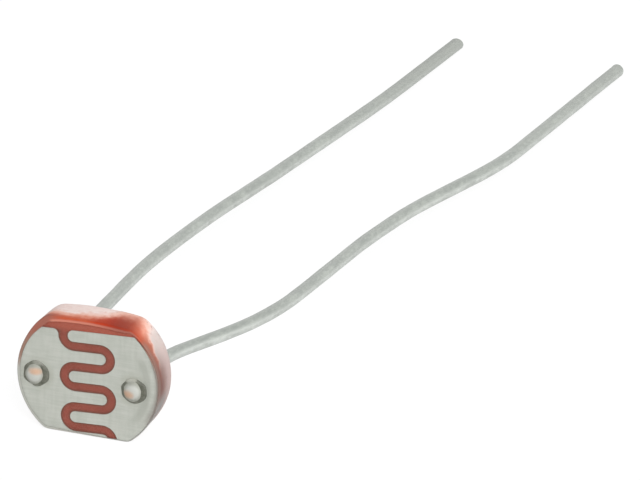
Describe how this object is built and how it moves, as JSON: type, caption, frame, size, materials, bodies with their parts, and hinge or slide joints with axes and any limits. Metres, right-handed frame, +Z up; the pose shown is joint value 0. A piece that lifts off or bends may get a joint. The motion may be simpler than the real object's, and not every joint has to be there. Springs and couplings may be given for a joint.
{
  "type": "photoresistor",
  "caption": "Light-dependent resistor with a flat-sided round head, a red-brown meander between grey metal films on its face, and long hand-bent tinned wire leads.",
  "frame": {"origin": "on the lower flat of the head, on the mid-plane of the disc and half-way through the head's thickness", "axes": "+X along the lead pitch to the right as seen from the face, +Y from the face towards the leads, +Z up from the lower flat"},
  "size_m": [0.0094, 0.0368, 0.0042],
  "materials": {
    "ceramic": "white ceramic, stained orange-red towards the face",
    "cds_film": "fine-grained, satin",
    "electrode_metal": "satin, faintly streaked",
    "tinned_wire": "dull tinned",
    "contact_paste": "matte, uneven",
    "resin": "clear gloss"
  },
  "bodies": {
    "root": {"ceramic_substrate": "ceramic", "cds_layer": "cds_film", "electrode_left": "electrode_metal", "electrode_right": "electrode_metal", "lead_left": "tinned_wire", "lead_right": "tinned_wire", "contact_paste_left": "contact_paste", "contact_paste_right": "contact_paste", "resin_coat": "resin"}
  },
  "joints": []
}
